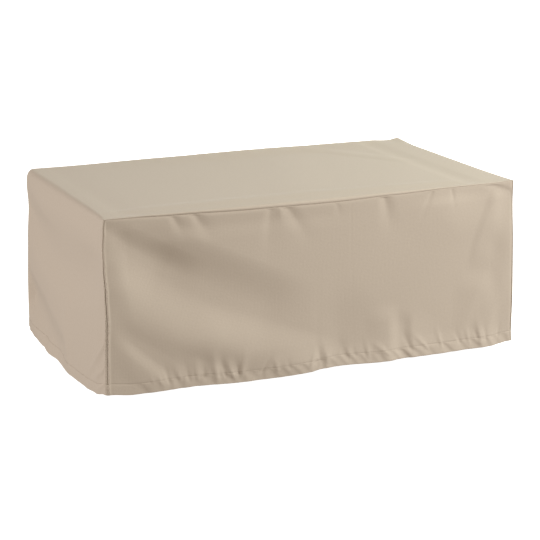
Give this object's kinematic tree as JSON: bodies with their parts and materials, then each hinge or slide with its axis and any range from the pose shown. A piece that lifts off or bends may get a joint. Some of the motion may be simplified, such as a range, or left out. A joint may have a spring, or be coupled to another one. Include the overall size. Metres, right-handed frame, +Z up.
{
  "type": "coffee table cover",
  "caption": "Fitted fabric cover that drops over a rectangular coffee table and hangs to a stitched hem near the floor.",
  "frame": {"origin": "middle of the top, on the cloth's underside, where the table carries the cover", "axes": "+X along the length, -Y towards the front panel, +Z up"},
  "size_m": [1.2504, 0.7332, 0.4881],
  "materials": {
    "coated_polyester": "matt plain weave, coated"
  },
  "bodies": {
    "root": {"top_and_ends": "coated_polyester", "front_panel": "coated_polyester", "back_panel": "coated_polyester"}
  },
  "joints": []
}
